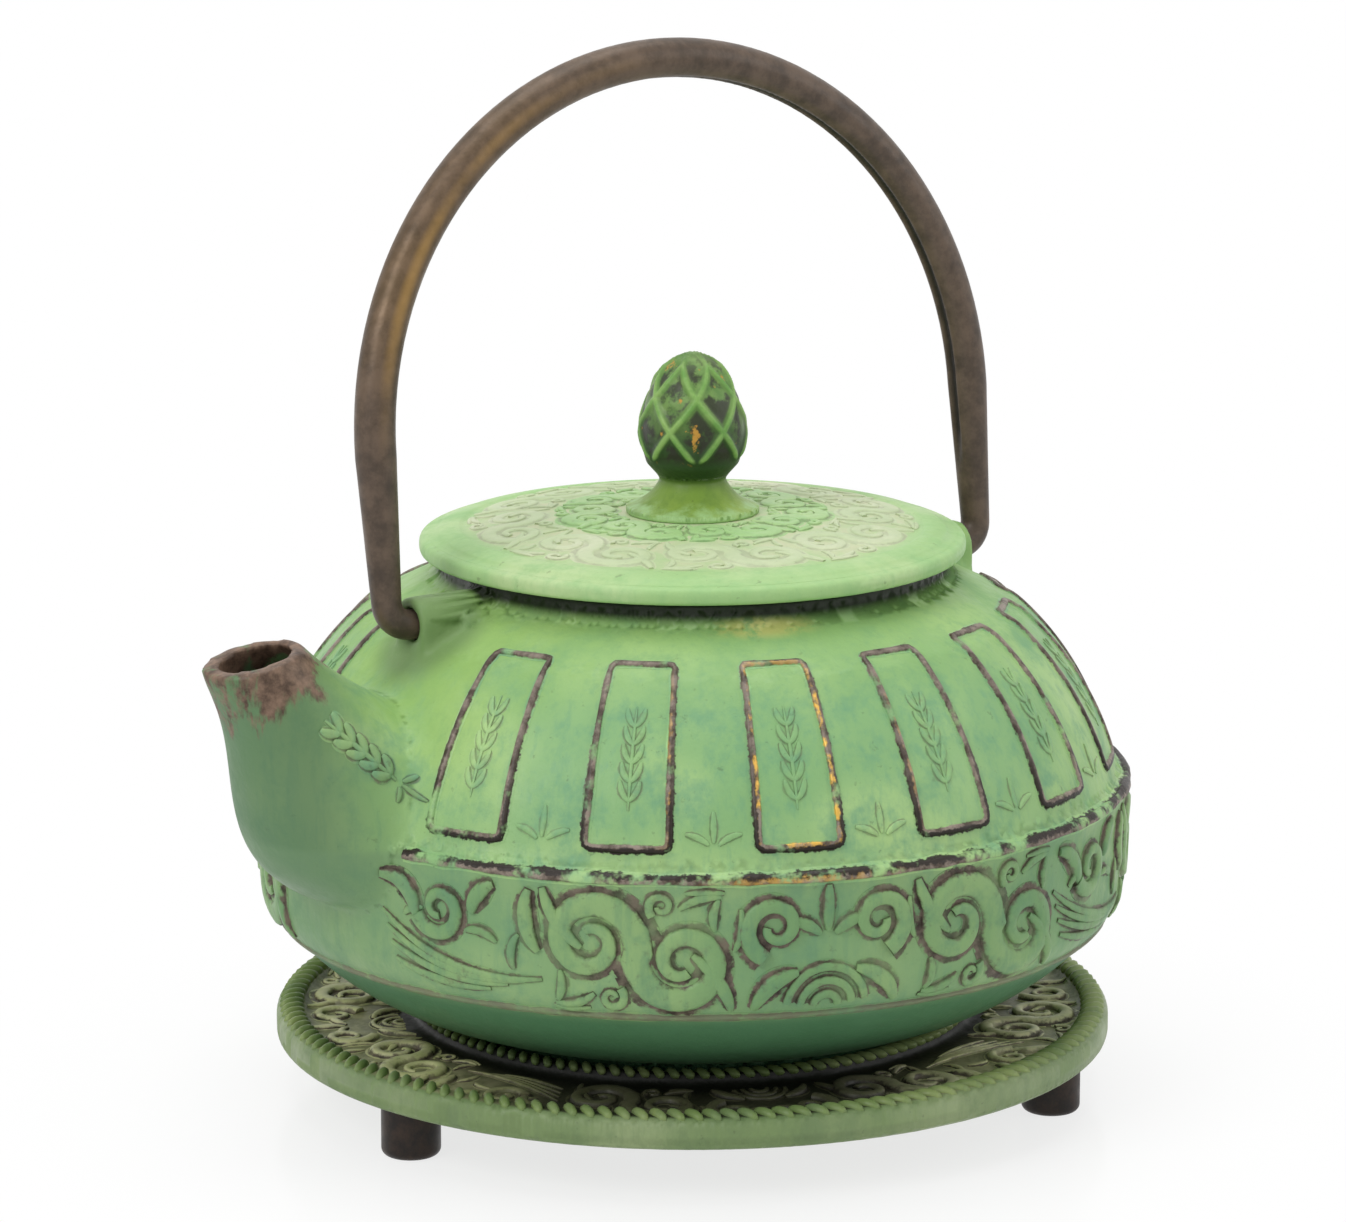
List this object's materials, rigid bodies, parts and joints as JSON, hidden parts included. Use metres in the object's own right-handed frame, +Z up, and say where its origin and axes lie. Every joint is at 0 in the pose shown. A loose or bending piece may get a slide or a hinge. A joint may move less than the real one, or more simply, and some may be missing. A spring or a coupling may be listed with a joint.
{
  "type": "cast iron teapot",
  "caption": "Round cast iron teapot with a short spout, swinging bail handle, domed lid with a bud knob, inner strainer and a matching footed trivet.",
  "frame": {"origin": "on the floor under the middle of the whole part's box", "axes": "+Z up, spout towards -X, bail hinge along X"},
  "size_m": [0.1875, 0.1646, 0.1982],
  "materials": {
    "green_patina_iron": "cast iron with a green patina, worn dark bronze on the raised lines",
    "brown_iron": "brown lacquered iron with worn golden edges",
    "foot_rubber": "dark brown rubber",
    "stainless": "bright stainless sheet"
  },
  "bodies": {
    "trivet": {"trivet_plate": "green_patina_iron", "trivet_foot_1": "foot_rubber", "trivet_foot_2": "foot_rubber", "trivet_foot_3": "foot_rubber"},
    "pot": {"pot_body": "green_patina_iron", "pot_spout": "green_patina_iron"},
    "bail": {"bail_handle": "brown_iron"},
    "infuser": {"infuser_rim": "stainless", "infuser_basket": "stainless"},
    "lid_set": {"lid": "green_patina_iron", "lid_knob": "green_patina_iron", "knob_washer": "stainless", "knob_nut": "stainless"}
  },
  "joints": [
    {"name": "pot_lift", "type": "slide", "parent": "trivet", "child": "pot", "axis": [0, 0, 1], "range_m": [0, 0.06]},
    {"name": "bail_swing", "type": "hinge", "parent": "pot", "child": "bail", "pos_m": [0.01145, 0, 0.0967], "axis": [1, 0, 0], "range_deg": [-103, 116]},
    {"name": "infuser_lift", "type": "slide", "parent": "pot", "child": "infuser", "axis": [0, 0, 1], "range_m": [0, 0.045]},
    {"name": "lid_lift", "type": "slide", "parent": "infuser", "child": "lid_set", "axis": [0, 0, 1], "range_m": [0, 0.045]}
  ]
}
